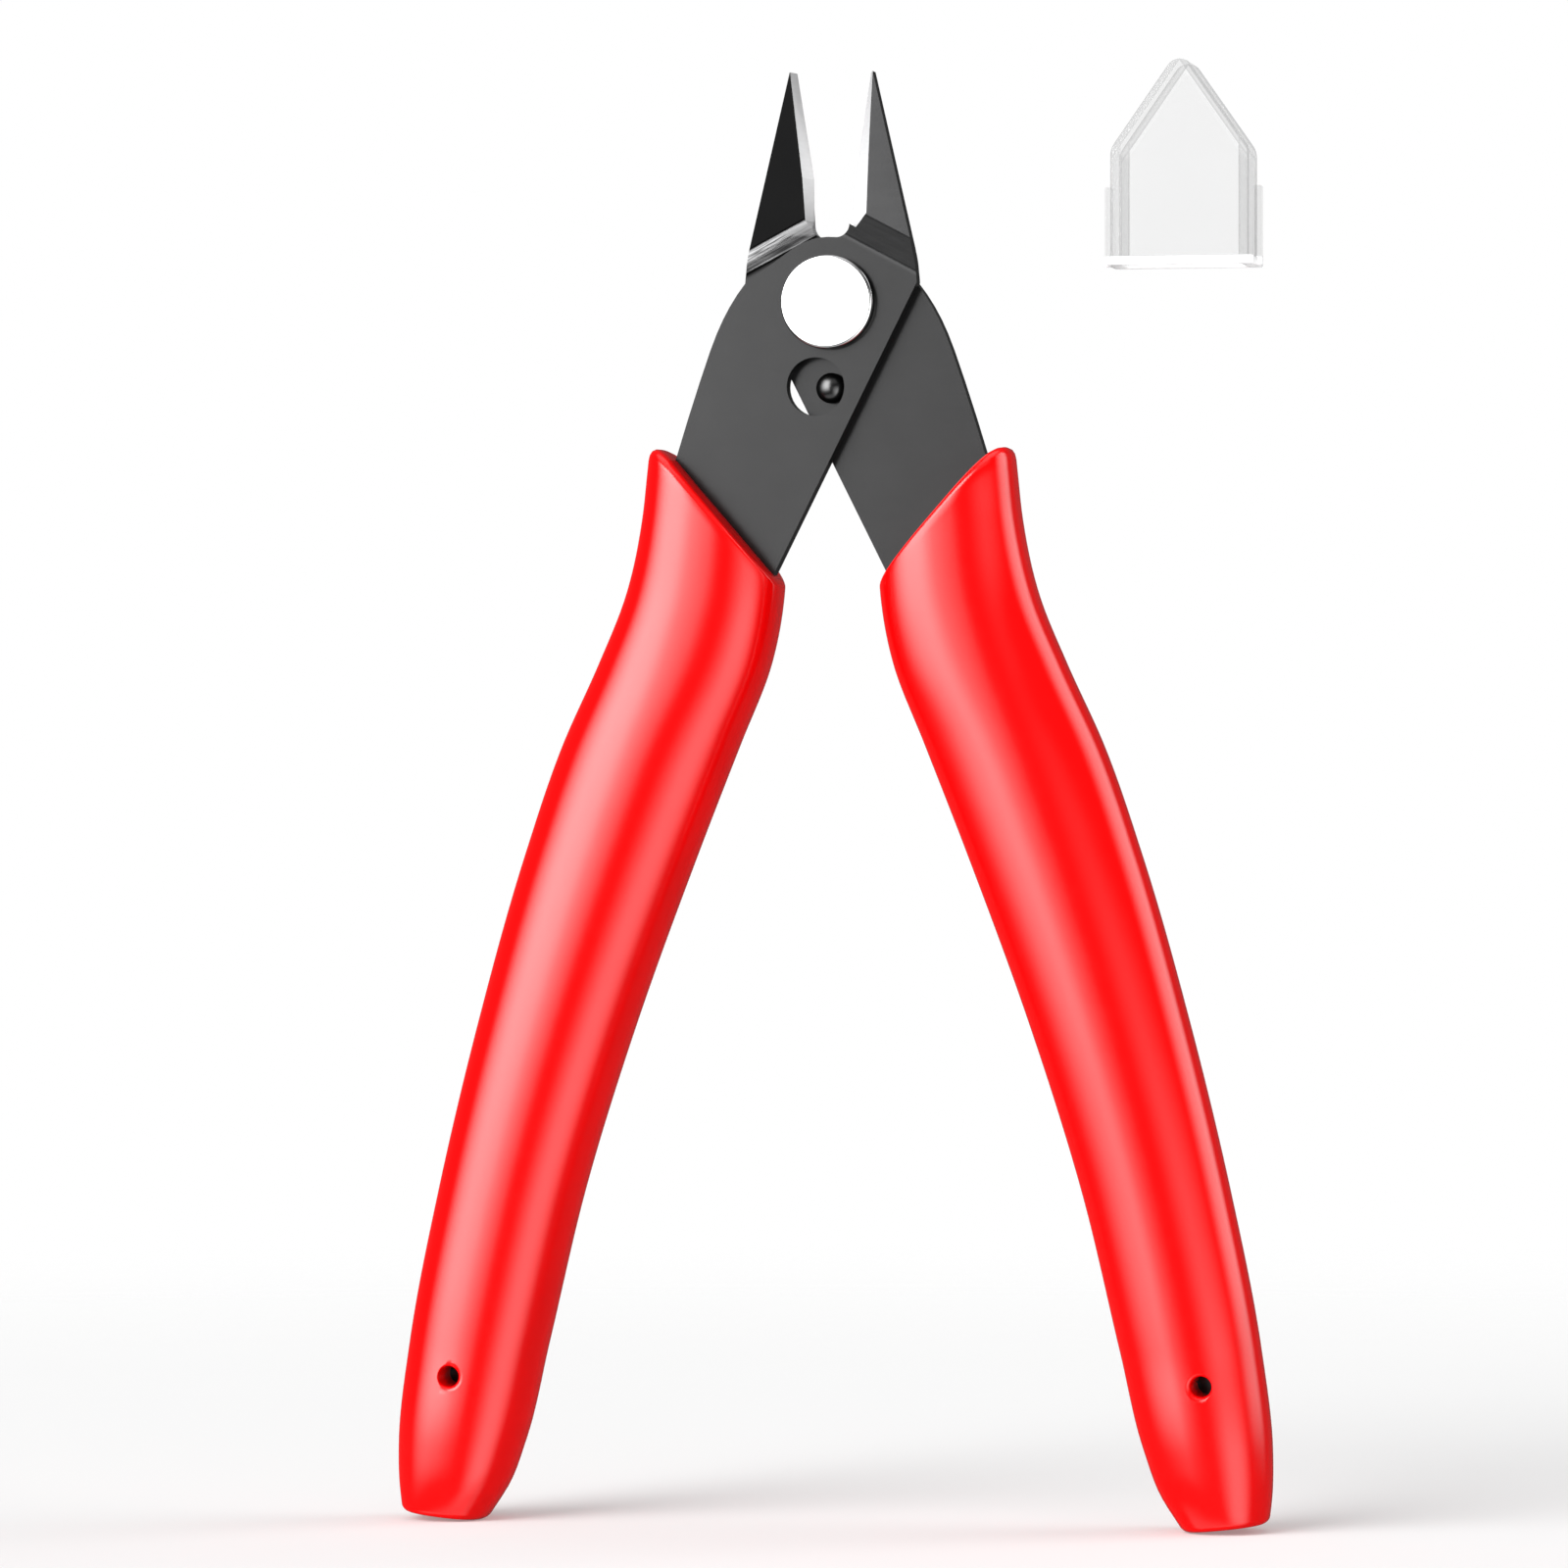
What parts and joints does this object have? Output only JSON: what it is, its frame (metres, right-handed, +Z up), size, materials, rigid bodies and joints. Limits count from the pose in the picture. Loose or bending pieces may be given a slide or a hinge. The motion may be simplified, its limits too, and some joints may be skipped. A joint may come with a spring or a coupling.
{
  "type": "diagonal cutting pliers",
  "caption": "Small lap-joint diagonal flush cutters with sprung jaws, smooth moulded grips and a clear slip-on tip guard.",
  "frame": {"origin": "middle of the bounding box at the floor that the two grip ends stand on", "axes": "+X across the handles towards the right grip, +Y from the front plate to the rear plate, +Z up along the tool to the jaw tips"},
  "size_m": [0.0791, 0.013, 0.1304],
  "materials": {
    "black_steel": "satin blackened steel",
    "polished_steel": "polished",
    "pin_steel": "ground",
    "spring_steel": "bright drawn wire",
    "red_grip": "glossy moulded red",
    "clear_plastic": "clear glossy"
  },
  "bodies": {
    "rear": {"rear_half": "black_steel", "right_grip": "red_grip", "pivot_rivet": "polished_steel", "rear_disc": "polished_steel", "stop_pin": "pin_steel"},
    "front": {"front_half": "black_steel", "left_grip": "red_grip", "return_spring": "spring_steel"},
    "guard": {"tip_guard": "clear_plastic"}
  },
  "joints": [
    {"name": "jaw_pivot", "type": "hinge", "parent": "rear", "child": "front", "pos_m": [0, 0, 0.1093], "axis": [0, -1, 0], "range_deg": [0, 18.3], "stiffness_Nm_per_rad": 0.28, "springref_deg": -6.3, "deforming": ["return_spring"]},
    {"name": "guard_lift", "type": "slide", "parent": "rear", "child": "guard", "axis": [0, 0, 1], "range_m": [0, 0.035]}
  ]
}
